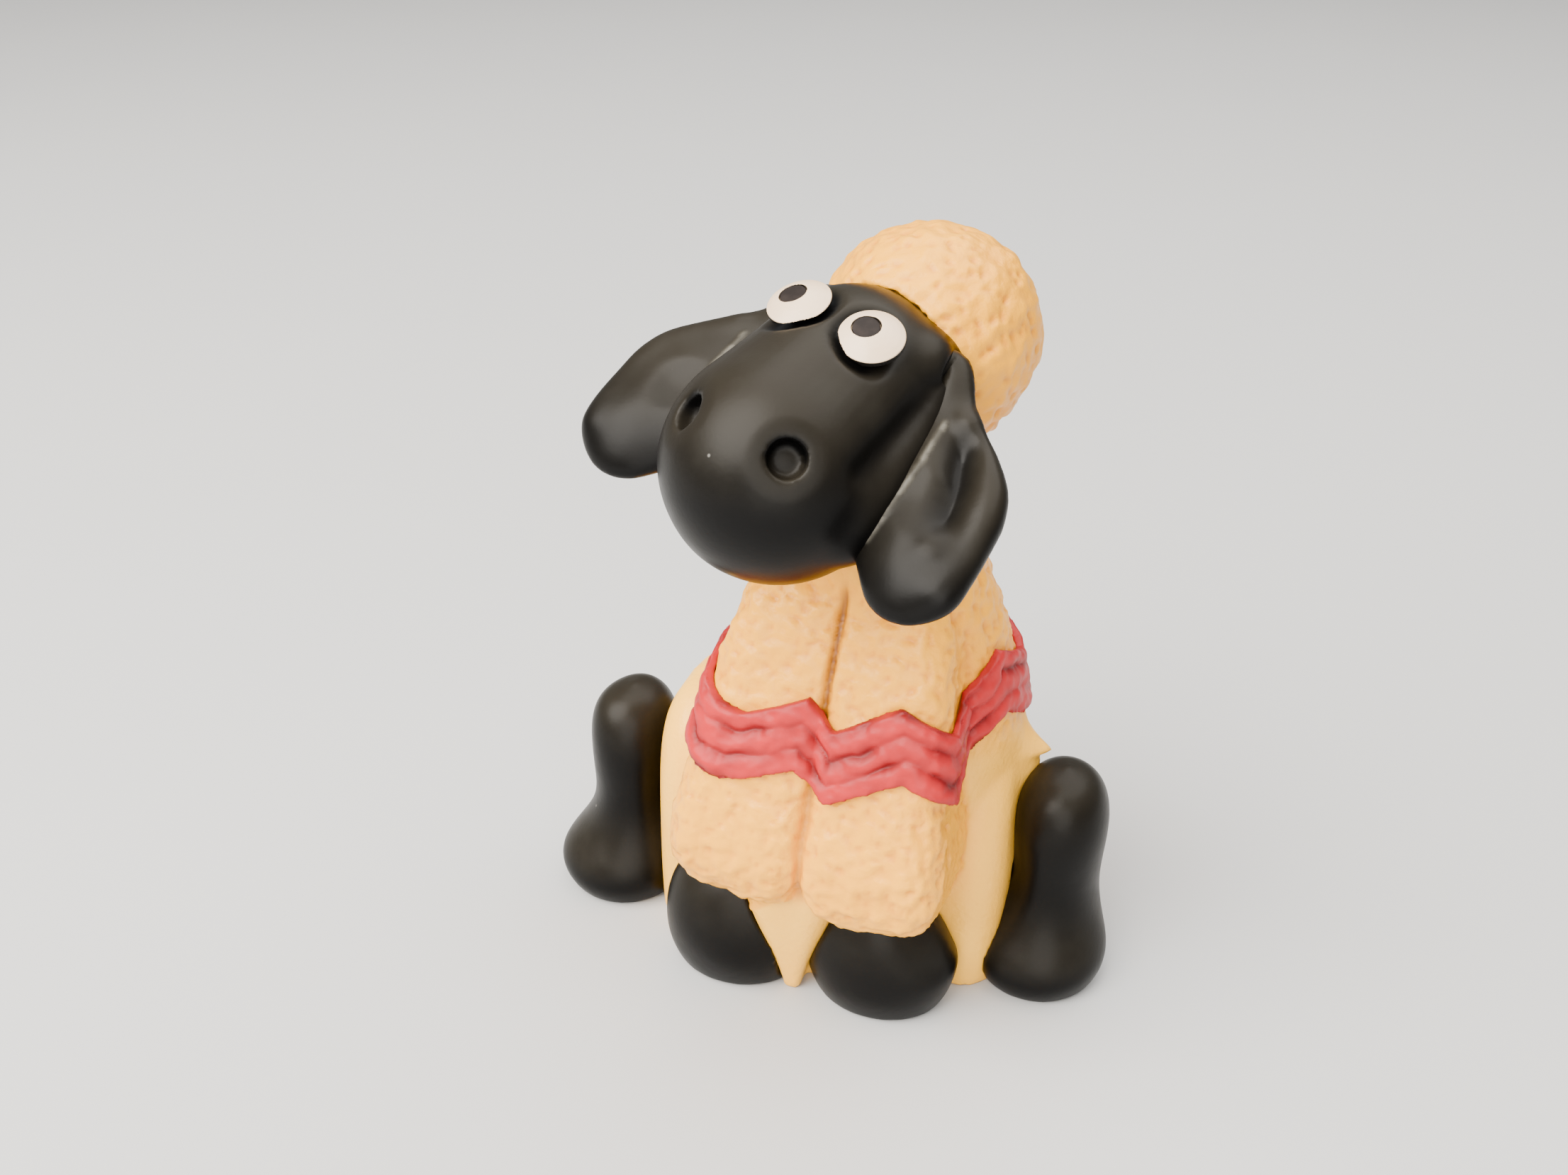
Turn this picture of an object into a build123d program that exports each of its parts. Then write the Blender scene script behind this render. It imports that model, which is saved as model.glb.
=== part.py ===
"""Seated sheep figurine in moulded vinyl: a cream torso with two front legs, black hind legs and
hooves, a raised zigzag band, and a black head with a wool cap that turns on a snap-in neck peg.

Millimetres. +Z is up, the sheep faces -Y, its left side is +X, and the origin is on the ground
under the middle of the torso's base.
"""
from build123d import *
from math import asin, cos, degrees, radians, sin
import os

# Torso: a bell of wool that narrows and leans forward to the neck
TORSO_HALF_WIDTH = 10.2
TORSO_HALF_DEPTH = 8.6
TORSO_HEIGHT = 30.8
TORSO_FORWARD_LEAN = 4.5
TORSO_SIDE_BULGE = 0.8
TORSO_SIDE_LEAN_ANGLE = 3.8
# Rows of height, half width, half depth, forward lean and side bulge, as shares of the sizes above
TORSO_SECTION_SHARES = (
    (-0.05, 0.95, 0.93, 0.00, 0.0),
    (0.21, 1.00, 1.00, 0.04, 0.0),
    (0.44, 0.94, 0.94, 0.20, 0.4),
    (0.63, 0.80, 0.78, 0.42, 1.1),
    (0.80, 0.62, 0.66, 0.52, 1.4),
    (0.92, 0.51, 0.56, 0.72, 0.6),
    (1.00, 0.40, 0.455, 1.00, 0.0),
)

# Thighs: smooth upright slabs at the sides of the torso, with a rounded knee on top
THIGH_HALF_WIDTH = 3.6
THIGH_HALF_DEPTH = 6.2
THIGH_HEIGHT = 15.3
THIGH_SPACING = 7.3
THIGH_FORWARD = 0.3
THIGH_CORNER_SHARE = 0.6
# Rows of height, half width and half depth, as shares of the sizes above
THIGH_SECTION_SHARES = (
    (-0.05, 0.98, 0.99),
    (0.20, 1.00, 1.00),
    (0.55, 1.00, 0.97),
    (0.82, 0.98, 0.86),
    (0.95, 0.86, 0.66),
    (1.00, 0.62, 0.44),
)

# Tail: a short wool stub on the back of the torso
TAIL_RADIUS = 2.6
TAIL_TIP_RADIUS = 1.9
TAIL_LENGTH = 3.0
TAIL_HEIGHT = 7.5
TAIL_DROOP_ANGLE = 120.0

# Front legs: two wool columns on the chest
FRONT_LEG_HALF_WIDTH = 4.2
FRONT_LEG_HALF_DEPTH = 4.8
FRONT_LEG_LENGTH = 22.0
FRONT_LEG_HALF_SPACING = 4.1
FRONT_LEG_LEAN_ANGLE = 14.5
FRONT_LEG_CLOSE_ANGLE = 4.9
FRONT_LEG_BOTTOM_HEIGHT = 7.4
FRONT_LEG_STANDOFF = 0.7
FRONT_LEG_CORNER_SHARE = 0.5
# Rows of height, half width and half depth, as shares of the sizes above
FRONT_LEG_SECTION_SHARES = (
    (0.000, 0.62, 0.60),
    (0.035, 0.84, 0.83),
    (0.110, 0.98, 0.97),
    (0.250, 1.00, 1.00),
    (0.550, 0.90, 0.90),
    (0.850, 0.70, 0.70),
    (1.000, 0.42, 0.40),
)

# Web: a smooth wedge that narrows to the ground between the hooves
WEB_HALF_WIDTH = 3.0
WEB_HALF_DEPTH = 5.5
WEB_HEIGHT = 9.0
WEB_FORWARD = 6.1
WEB_RIGHT = 0.5
WEB_CORNER_SHARE = 0.6
# Rows of height, half width and half depth, as shares of the sizes above
WEB_SECTION_SHARES = (
    (-0.05, 0.14, 0.70),
    (0.12, 0.24, 0.74),
    (0.45, 0.58, 0.86),
    (1.00, 1.00, 1.00),
)

# Front hooves, under the wool columns
HOOF_HALF_WIDTH = 4.6
HOOF_HALF_DEPTH = 3.7
HOOF_HALF_HEIGHT = 5.3
HOOF_TOP_OVERLAP = 1.0
HOOF_OUTSET = 0.4
HOOF_FORWARD = -1.4
HOOF_PEG_RADIUS = 1.2
HOOF_PEG_LENGTH = 3.0

# Hind legs: shin and foot in one piece, beside the torso
HIND_LEG_HEIGHT = 14.4
HIND_LEG_HALF_WIDTH = 2.75
HIND_LEG_HALF_DEPTH = 3.3
HIND_LEG_STANDOFF = 3.35
HIND_LEG_FORWARD = 2.0
HIND_FOOT_FORWARD = 0.9
HIND_FOOT_SPLAYS = {"left": -0.6, "right": 0.7}
# Rows of height, half width, half depth, and the foot's splay and forward reach, as shares
HIND_LEG_SECTION_SHARES = (
    (-0.050, 0.90, 0.86, 1.00),
    (0.050, 1.42, 1.20, 1.00),
    (0.160, 1.48, 1.24, 0.95),
    (0.290, 1.18, 1.08, 0.45),
    (0.450, 0.96, 0.96, 0.10),
    (0.640, 0.98, 1.00, 0.00),
    (0.840, 0.92, 0.92, 0.00),
    (0.950, 0.60, 0.60, 0.00),
)
LEG_PEG_RADIUS = 1.3
LEG_PEG_LENGTH = 4.0
LEG_PEG_HEIGHT = 7.0

# Zigzag band, in relief round the torso
BAND_RELIEF = 0.45
BAND_WIDTH = 3.8
BAND_SWING = 0.8
BAND_HEIGHT = 18.7
# Turning points round the torso: degrees from straight ahead towards the sheep's left, and the
# rise there as a share of the swing
BAND_TURNS = (
    (-28, -1.0),
    (-6, 1.0),
    (6, -1.0),
    (30, 1.0),
    (48, -1.0),
    (80, 3.2),
    (106, 0.8),
    (134, 2.4),
    (162, 0.4),
    (190, 2.4),
    (218, 0.4),
    (246, 1.0),
    (274, -1.6),
    (302, 0.3),
)

# Neck: a dome that the head sits on, leaning forward with the axis that the head turns about
NECK_DOME_RADIUS = 4.1
NECK_DOME_RISE = 0.5
NECK_LEAN_ANGLE = 12.0
NECK_GAP = 0.15
HEAD_SWIVEL_ANGLE = -19.0

# Neck peg: pressed into the torso, snapped into the head
PEG_SHANK_RADIUS = 1.7
PEG_SHANK_LENGTH = 9.0
PEG_JOURNAL_RADIUS = 1.5
PEG_JOURNAL_LENGTH = 2.8
PEG_COLLAR_RADIUS = 2.0
PEG_COLLAR_LENGTH = 1.0
PEG_RUNNING_CLEARANCE = 0.05
PEG_END_CLEARANCE = 0.25

# Head: an egg from the forehead to the muzzle
FOREHEAD_RADIUS = 5.1
MUZZLE_RADIUS = 5.7
HEAD_AXIS_LENGTH = 5.9
HEAD_NOD_ANGLE = 23.5
FOREHEAD_FORWARD = 3.65
FOREHEAD_RISE = 7.2

# Nostrils: round craters with a low dome on the floor
NOSTRIL_RADIUS = 1.05
NOSTRIL_DEPTH = 1.0
NOSTRIL_DOME_HEIGHT = 0.15
NOSTRIL_SIDE_ANGLE = 32.2
NOSTRIL_RISE_ANGLE = 39.0

# Wool cap on the back of the head
CAP_RADIUS = 5.8
CAP_SETBACK = 6.7
CAP_RISE = 1.0
CAP_PEG_RADIUS = 1.2
CAP_PEG_LENGTH = 2.2
CAP_PEG_RISE = 1.2

# Ears: cupped paddles that hang from the sides of the head
EAR_ROOT_RADIUS = 1.0
EAR_MIDDLE_RADIUS = 3.8
EAR_TIP_RADIUS = 2.6
EAR_MIDDLE_DISTANCE = 6.6
EAR_TIP_DISTANCE = 9.85
EAR_HALF_THICKNESS = 1.4
EAR_SPLAY_ANGLE = 30.5
EAR_DROOP_ANGLE = 35.0
EAR_ROLL_ANGLE = -21.5
EAR_ROOT_INSET = 0.6
EAR_ROOT_SETBACK = 1.15
EAR_ROOT_RISE = 1.55
EAR_CUP_DEPTH = 0.3
EAR_CUP_SHARE = 0.6
EAR_PEG_RADIUS = 0.9
EAR_PEG_LENGTH = 2.2

# Eyes: domed buttons on stems, each with a sunk pupil, their outer edges clear of the head
EYE_RADIUS = 1.6
EYE_RIM_THICKNESS = 0.3
EYE_DOME_HEIGHT = 0.45
EYE_STANDOFF = 0.35
EYE_SIDE_ANGLE = 24.8
EYE_RISE_ANGLE = 65.0
EYE_FACE_SIDE_ANGLE = 8.0
EYE_FACE_RISE_ANGLE = 65.0
EYE_STEM_RADIUS = 0.7
EYE_STEM_LENGTH = 1.9
PUPIL_RADIUS = 0.66
PUPIL_THICKNESS = 0.2
PUPIL_SINK = 0.2
PUPIL_UP_OFFSET = 0.12
PUPIL_RIGHT_OFFSET = 0.38

GLUE_CLEARANCE = 0.05
CUT_OVERRUN = 1.0
SIDES = (("left", 1), ("right", -1))

# Places that several pieces share
LEG_FOOT_Y = -TORSO_HALF_DEPTH - FRONT_LEG_STANDOFF
NECK_CENTRE = Vector(0, -TORSO_FORWARD_LEAN, TORSO_HEIGHT + NECK_DOME_RISE)
NECK_FRAME = Pos(NECK_CENTRE) * Rot(NECK_LEAN_ANGLE, 0, 0)
NECK_DIRECTION = Vector(0, -sin(radians(NECK_LEAN_ANGLE)), cos(radians(NECK_LEAN_ANGLE)))
FOREHEAD_CENTRE = NECK_CENTRE + Vector(0, -FOREHEAD_FORWARD, FOREHEAD_RISE)
MUZZLE_CENTRE = FOREHEAD_CENTRE + Vector(
    0,
    -HEAD_AXIS_LENGTH * cos(radians(HEAD_NOD_ANGLE)),
    -HEAD_AXIS_LENGTH * sin(radians(HEAD_NOD_ANGLE)),
)


def ball_chain(*balls):
    """Balls on the Z axis, given as (height, radius) going up, and the cones that touch them."""
    tilts = []
    for (low_z, low_radius), (high_z, high_radius) in zip(balls, balls[1:]):
        tilts.append(degrees(asin((low_radius - high_radius) / (high_z - low_z))))
    starts = [-90] + tilts
    ends = tilts + [90]
    with BuildSketch(Plane.XZ) as profile:
        with BuildLine():
            for (height, radius), start, end in zip(balls, starts, ends):
                arc = CenterArc((0, height), radius, start, end - start)
                if start > -90:
                    Line(last_point, arc @ 0)
                last_point = arc @ 1
            Line(last_point, (0, balls[0][0] - balls[0][1]))
        make_face()
    return revolve(profile.sketch, Axis.Z, 360)


def ellipsoid(half_width, half_depth, half_height):
    ball = Sphere(half_height)
    return scale(ball, by=(half_width / half_height, half_depth / half_height, 1))


def slab(height, half_width, half_depth, corner_share, rows, grow=0):
    """A loft of rounded rectangles going up Z, from rows of height, width and depth shares."""
    sections = []
    for height_share, width_share, depth_share in rows:
        section_width = width_share * half_width + grow
        section_depth = depth_share * half_depth + grow
        corner = corner_share * min(section_width, section_depth)
        outline = RectangleRounded(2 * section_width, 2 * section_depth, corner)
        sections.append(Pos(0, 0, height_share * height) * outline)
    return loft(sections)


def rising_cylinder(radius, length):
    return Cylinder(radius, length, align=(Align.CENTER, Align.CENTER, Align.MIN))


def on_side(shape, side):
    return shape if side > 0 else mirror(shape, about=Plane.YZ)


def both_sides(shape):
    return shape + mirror(shape, about=Plane.YZ)


def above_ground(shape):
    box = shape.bounding_box()
    ground = Pos(box.center().X, box.center().Y, 0) * Box(
        2 * box.size.X,
        2 * box.size.Y,
        2 * box.size.Z,
        align=(Align.CENTER, Align.CENTER, Align.MAX),
    )
    return shape - ground


def outward_plane(centre, radius, side_angle, rise_angle):
    """A plane on a ball, its Z pointing out and its Y up the ball."""
    side, rise = radians(side_angle), radians(rise_angle)
    outward = Vector(sin(side), -cos(side) * cos(rise), cos(side) * sin(rise))
    return Plane(centre + outward * radius, x_dir=(1, 0, 0), z_dir=outward)


def dome_ball(base_radius, height):
    """The ball whose cap has this base radius and height, the cap's base on Z = 0."""
    radius = (base_radius**2 + height**2) / (2 * height)
    return Pos(0, 0, height - radius) * Sphere(radius)


def leaned(shape):
    return Rot(0, TORSO_SIDE_LEAN_ANGLE, 0) * shape


def turned(shape):
    return leaned(shape.rotate(Axis(NECK_CENTRE, NECK_DIRECTION), HEAD_SWIVEL_ANGLE))


# Torso
def bell(grow):
    sections = []
    for height_share, width_share, depth_share, lean_share, bulge_share in TORSO_SECTION_SHARES:
        place = Pos(
            bulge_share * TORSO_SIDE_BULGE,
            -lean_share * TORSO_FORWARD_LEAN,
            height_share * TORSO_HEIGHT,
        )
        outline = Ellipse(
            width_share * TORSO_HALF_WIDTH + grow,
            depth_share * TORSO_HALF_DEPTH + grow,
        )
        sections.append(place * outline)
    return loft(sections)


def front_leg(grow):
    column = slab(
        FRONT_LEG_LENGTH,
        FRONT_LEG_HALF_WIDTH,
        FRONT_LEG_HALF_DEPTH,
        FRONT_LEG_CORNER_SHARE,
        FRONT_LEG_SECTION_SHARES,
        grow,
    )
    pose = Rot(-FRONT_LEG_LEAN_ANGLE, -FRONT_LEG_CLOSE_ANGLE, 0)
    return Pos(FRONT_LEG_HALF_SPACING, LEG_FOOT_Y, FRONT_LEG_BOTTOM_HEIGHT) * pose * column


def chest(grow):
    return bell(grow) + both_sides(front_leg(grow))


thigh = Pos(THIGH_SPACING, -THIGH_FORWARD, 0) * slab(
    THIGH_HEIGHT, THIGH_HALF_WIDTH, THIGH_HALF_DEPTH, THIGH_CORNER_SHARE, THIGH_SECTION_SHARES
)
web = Pos(-WEB_RIGHT, -WEB_FORWARD, 0) * slab(
    WEB_HEIGHT, WEB_HALF_WIDTH, WEB_HALF_DEPTH, WEB_CORNER_SHARE, WEB_SECTION_SHARES
)
tail = (
    Pos(0, TORSO_HALF_DEPTH - TAIL_TIP_RADIUS, TAIL_HEIGHT)
    * Rot(-TAIL_DROOP_ANGLE, 0, 0)
    * ball_chain((0, TAIL_RADIUS), (TAIL_LENGTH, TAIL_TIP_RADIUS))
)
neck_dome = Pos(NECK_CENTRE) * Sphere(NECK_DOME_RADIUS)
torso_form = above_ground(leaned(chest(0) + neck_dome) + both_sides(thigh) + web + tail)

# Front hooves and their pegs
hoof_height = FRONT_LEG_BOTTOM_HEIGHT + HOOF_TOP_OVERLAP - HOOF_HALF_HEIGHT
hoof_place = Pos(FRONT_LEG_HALF_SPACING + HOOF_OUTSET, LEG_FOOT_Y - HOOF_FORWARD, hoof_height)
hoof_ball = hoof_place * ellipsoid(HOOF_HALF_WIDTH, HOOF_HALF_DEPTH, HOOF_HALF_HEIGHT)
hoof_peg_length = FRONT_LEG_BOTTOM_HEIGHT + HOOF_PEG_LENGTH - hoof_height
hoof_peg = hoof_place * rising_cylinder(HOOF_PEG_RADIUS, hoof_peg_length)
hoof_socket = hoof_place * rising_cylinder(
    HOOF_PEG_RADIUS + GLUE_CLEARANCE, hoof_peg_length + PEG_END_CLEARANCE
)
hoof_form = above_ground(hoof_ball)

# Hind legs and their pegs
leg_place = Pos(TORSO_HALF_WIDTH + HIND_LEG_STANDOFF, -HIND_LEG_FORWARD, 0)


def leg_form(splay):
    sections = []
    for height_share, width_share, depth_share, foot_share in HIND_LEG_SECTION_SHARES:
        place = Pos(foot_share * splay, -foot_share * HIND_FOOT_FORWARD, height_share * HIND_LEG_HEIGHT)
        outline = Ellipse(width_share * HIND_LEG_HALF_WIDTH, depth_share * HIND_LEG_HALF_DEPTH)
        sections.append(leg_place * place * outline)
    top = leg_place * Pos(0, 0, HIND_LEG_HEIGHT)
    return above_ground(loft(sections + [Vertex(*top.position)]))


leg_peg_place = leg_place * Pos(0, 0, LEG_PEG_HEIGHT) * Rot(0, -90, 0)
leg_peg_length = HIND_LEG_STANDOFF + LEG_PEG_LENGTH
leg_peg = leg_peg_place * rising_cylinder(LEG_PEG_RADIUS, leg_peg_length)
leg_socket = leg_peg_place * rising_cylinder(
    LEG_PEG_RADIUS + GLUE_CLEARANCE, leg_peg_length + PEG_END_CLEARANCE
)

# Neck peg and its two holes
shank_top = (NECK_DOME_RADIUS**2 - PEG_SHANK_RADIUS**2) ** 0.5
shank_bottom = shank_top - PEG_SHANK_LENGTH
collar_bottom = NECK_DOME_RADIUS + PEG_JOURNAL_LENGTH
peg_shank = Pos(0, 0, shank_bottom) * rising_cylinder(PEG_SHANK_RADIUS, PEG_SHANK_LENGTH)
peg_journal = rising_cylinder(PEG_JOURNAL_RADIUS, collar_bottom)
peg_collar = Pos(0, 0, collar_bottom) * rising_cylinder(PEG_COLLAR_RADIUS, PEG_COLLAR_LENGTH)
neck_peg = leaned(NECK_FRAME * (peg_shank + peg_journal + peg_collar))
peg_hole = Pos(0, 0, shank_bottom) * rising_cylinder(
    PEG_SHANK_RADIUS, PEG_SHANK_LENGTH + CUT_OVERRUN
)
head_bore = rising_cylinder(PEG_JOURNAL_RADIUS + PEG_RUNNING_CLEARANCE, collar_bottom)
head_bore += Pos(0, 0, collar_bottom - PEG_RUNNING_CLEARANCE) * rising_cylinder(
    PEG_COLLAR_RADIUS + PEG_RUNNING_CLEARANCE, PEG_COLLAR_LENGTH + PEG_END_CLEARANCE
)
head_bore = NECK_FRAME * head_bore
head_seat = Pos(NECK_CENTRE) * Sphere(NECK_DOME_RADIUS + NECK_GAP)
torso = torso_form - both_sides(hoof_socket) - both_sides(leg_socket) - leaned(NECK_FRAME * peg_hole)

# Zigzag band: the skin between the torso and a grown torso, cut to a zigzag ring
def band_gate(angle, swing):
    """An upright rectangle across the torso's skin, at an angle round the torso."""
    reach = TORSO_HALF_WIDTH + TORSO_HALF_DEPTH
    gate = Plane(
        (0, -TORSO_FORWARD_LEAN * BAND_HEIGHT / TORSO_HEIGHT, BAND_HEIGHT + swing),
        x_dir=(sin(radians(angle)), -cos(radians(angle)), 0),
        z_dir=(-cos(radians(angle)), -sin(radians(angle)), 0),
    )
    return gate * Pos(reach / 2 + BAND_RELIEF, 0) * Rectangle(reach, BAND_WIDTH)


gates = []
for angle, rise_share in BAND_TURNS:
    gates.append(band_gate(angle, rise_share * BAND_SWING))
zigzag = Part()
for gate, next_gate in zip(gates, gates[1:] + gates[:1]):
    zigzag += loft([gate, next_gate], ruled=True)
band = leaned(chest(BAND_RELIEF) & zigzag) - torso_form

# Head
head_egg = Pos(FOREHEAD_CENTRE) * Rot(90 + HEAD_NOD_ANGLE, 0, 0) * ball_chain(
    (0, FOREHEAD_RADIUS), (HEAD_AXIS_LENGTH, MUZZLE_RADIUS)
)
nostril_plane = outward_plane(
    MUZZLE_CENTRE, MUZZLE_RADIUS - NOSTRIL_DEPTH, NOSTRIL_SIDE_ANGLE, NOSTRIL_RISE_ANGLE
)
nostril = rising_cylinder(NOSTRIL_RADIUS, NOSTRIL_DEPTH + CUT_OVERRUN)
nostril = nostril_plane * (nostril - dome_ball(NOSTRIL_RADIUS, NOSTRIL_DOME_HEIGHT))

# Wool cap
cap_centre = FOREHEAD_CENTRE + Vector(0, CAP_SETBACK, CAP_RISE)
cap_peg_place = Pos(cap_centre) * Pos(0, 0, CAP_PEG_RISE) * Rot(90, 0, 0)
cap_peg_length = CAP_SETBACK - FOREHEAD_RADIUS + CAP_PEG_LENGTH
cap_peg = cap_peg_place * rising_cylinder(CAP_PEG_RADIUS, cap_peg_length)
cap_socket = cap_peg_place * rising_cylinder(
    CAP_PEG_RADIUS + GLUE_CLEARANCE, cap_peg_length + PEG_END_CLEARANCE
)
wool_cap = Pos(cap_centre) * Sphere(CAP_RADIUS) - head_egg - head_seat - head_bore + cap_peg


# Ears
def ear_paddle(width_share):
    """A leaf hanging along -Z from its root at the origin, wide along X and thin along Y."""
    leaf = ball_chain(
        (-EAR_TIP_DISTANCE, width_share * EAR_TIP_RADIUS),
        (-EAR_MIDDLE_DISTANCE, width_share * EAR_MIDDLE_RADIUS),
        (0, width_share * EAR_ROOT_RADIUS),
    )
    return scale(leaf, by=(1, EAR_HALF_THICKNESS / EAR_MIDDLE_RADIUS, 1))


ear_root = FOREHEAD_CENTRE + Vector(
    FOREHEAD_RADIUS - EAR_ROOT_INSET, EAR_ROOT_SETBACK, EAR_ROOT_RISE
)
ear_frame = Pos(ear_root) * Rot(0, 0, EAR_SPLAY_ANGLE) * Rot(EAR_DROOP_ANGLE - 90, 0, EAR_ROLL_ANGLE)
cup_shift = EAR_HALF_THICKNESS * (1 + EAR_CUP_SHARE) - EAR_CUP_DEPTH
ear_form = ear_frame * (ear_paddle(1) - Pos(0, -cup_shift, 0) * ear_paddle(EAR_CUP_SHARE))
ear_peg_place = Pos(ear_root) * Rot(0, -90, 0)
ear_peg = ear_peg_place * rising_cylinder(EAR_PEG_RADIUS, EAR_PEG_LENGTH)
ear_socket = ear_peg_place * rising_cylinder(
    EAR_PEG_RADIUS + GLUE_CLEARANCE, EAR_PEG_LENGTH + PEG_END_CLEARANCE
)
ear = ear_form - head_egg - head_seat + ear_peg
wool_cap -= both_sides(ear_form)


# Eyes and pupils: both look to the sheep's right
def eye_plane(side):
    seat = outward_plane(FOREHEAD_CENTRE, FOREHEAD_RADIUS, side * EYE_SIDE_ANGLE, EYE_RISE_ANGLE)
    face = outward_plane(seat.origin, EYE_STANDOFF, side * EYE_FACE_SIDE_ANGLE, EYE_FACE_RISE_ANGLE)
    return face


def pupil_place(side):
    floor = EYE_DOME_HEIGHT - PUPIL_SINK - PUPIL_THICKNESS
    return eye_plane(side) * Pos(-PUPIL_RIGHT_OFFSET, PUPIL_UP_OFFSET, floor)


def eye(side):
    button = Pos(0, 0, -EYE_RIM_THICKNESS) * rising_cylinder(EYE_RADIUS, EYE_RADIUS)
    button &= dome_ball(EYE_RADIUS, EYE_DOME_HEIGHT)
    stem = Pos(0, 0, -EYE_STEM_LENGTH) * rising_cylinder(EYE_STEM_RADIUS, EYE_STEM_LENGTH)
    recess = rising_cylinder(PUPIL_RADIUS + GLUE_CLEARANCE, CUT_OVERRUN)
    return eye_plane(side) * button - head_egg + eye_plane(side) * stem - pupil_place(side) * recess


def pupil(side):
    return pupil_place(side) * rising_cylinder(PUPIL_RADIUS, PUPIL_THICKNESS)


def eye_socket(side):
    socket = rising_cylinder(EYE_STEM_RADIUS + GLUE_CLEARANCE, EYE_STEM_LENGTH + CUT_OVERRUN)
    return eye_plane(side) * Pos(0, 0, -EYE_STEM_LENGTH - PEG_END_CLEARANCE) * socket


head = head_egg - head_seat - head_bore - cap_socket
head = head - both_sides(nostril) - both_sides(ear_socket) - eye_socket(1) - eye_socket(-1)

# The assembly, with the head's pieces at the photographed turn
nodes = {
    "torso": torso,
    "zigzag_band": band,
    "neck_peg": neck_peg,
    "head": turned(head),
    "wool_cap": turned(wool_cap),
}
for name, side in SIDES:
    nodes["front_hoof_" + name] = on_side(hoof_form, side) - torso_form + on_side(hoof_peg, side)
    shin = on_side(leg_form(HIND_FOOT_SPLAYS[name]), side)
    nodes["hind_leg_" + name] = shin - torso_form + on_side(leg_peg, side)
    nodes["ear_" + name] = turned(on_side(ear, side))
    nodes["eye_" + name] = turned(eye(side))
    nodes["pupil_" + name] = turned(pupil(side))

os.makedirs("parts", exist_ok=True)
for name, shape in nodes.items():
    export_step(shape, f"parts/{name}.step")
    print(name, len(shape.solids()), round(shape.volume, 2))
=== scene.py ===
import math
import bmesh
import bpy
import numpy as np
from mathutils import Euler, Matrix, Vector, noise
from mathutils.kdtree import KDTree


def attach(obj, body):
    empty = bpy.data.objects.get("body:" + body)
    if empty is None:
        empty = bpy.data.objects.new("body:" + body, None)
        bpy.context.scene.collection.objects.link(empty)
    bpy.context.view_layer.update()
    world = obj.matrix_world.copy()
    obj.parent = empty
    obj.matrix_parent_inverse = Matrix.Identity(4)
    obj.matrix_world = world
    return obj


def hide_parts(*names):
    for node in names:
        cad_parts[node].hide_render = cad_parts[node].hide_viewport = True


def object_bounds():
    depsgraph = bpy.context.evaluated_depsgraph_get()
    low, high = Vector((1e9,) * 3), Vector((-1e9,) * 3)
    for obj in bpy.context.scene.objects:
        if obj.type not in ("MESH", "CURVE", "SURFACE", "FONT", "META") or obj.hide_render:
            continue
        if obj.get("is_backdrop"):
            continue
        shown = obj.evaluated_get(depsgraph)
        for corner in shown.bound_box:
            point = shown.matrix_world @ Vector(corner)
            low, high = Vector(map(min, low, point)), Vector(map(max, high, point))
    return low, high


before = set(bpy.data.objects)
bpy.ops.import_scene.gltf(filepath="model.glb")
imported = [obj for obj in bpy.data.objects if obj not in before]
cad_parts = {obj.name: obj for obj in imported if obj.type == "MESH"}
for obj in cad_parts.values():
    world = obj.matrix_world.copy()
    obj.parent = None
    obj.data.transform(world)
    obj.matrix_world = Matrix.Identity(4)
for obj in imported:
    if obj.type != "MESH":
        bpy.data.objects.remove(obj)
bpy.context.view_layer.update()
scene = bpy.context.scene
print("frame loaded:", len(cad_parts), "nodes")

# how the figurine sits, in millimetres and degrees
stance = {"sideLean": 3.8, "neck": (0, -4.5, 31.3), "neckLean": 12.0, "headTurn": -19.0}
sides = {"left": 1, "right": -1}
perMetre = 1000  # millimetres
weldDistance = 1e-7  # metres
relaxFactor = 0.5  # share of the way to the neighbours' middle in one round
seedSteps = (17.3, 5.1, 9.7)  # from one seed's lumps to the next seed's
neck = Vector(stance["neck"])
neckAxis = Matrix.Rotation(math.radians(stance["neckLean"]), 3, "X") @ Vector((0, 0, 1))
leanFrame = Matrix.Rotation(math.radians(stance["sideLean"]), 4, "Y")
turnFrame = (Matrix.Translation(neck)
             @ Matrix.Rotation(math.radians(stance["headTurn"]), 4, neckAxis)
             @ Matrix.Translation(-neck))
headFrame = leanFrame @ turnFrame


# sockets that can be added, subtracted and multiplied
class Wire:
    def __init__(self, paint, socket):
        self.paint = paint
        self.socket = socket

    def sum(self, operation, a, b):
        return self.paint.node("ShaderNodeMath", {"operation": operation}, {0: a, 1: b})

    def __add__(self, other):
        return self.sum("ADD", self, other)

    def __radd__(self, other):
        return self.sum("ADD", other, self)

    def __sub__(self, other):
        return self.sum("SUBTRACT", self, other)

    def __rsub__(self, other):
        return self.sum("SUBTRACT", other, self)

    def __mul__(self, other):
        return self.sum("MULTIPLY", self, other)

    def __rmul__(self, other):
        return self.sum("MULTIPLY", other, self)


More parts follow.
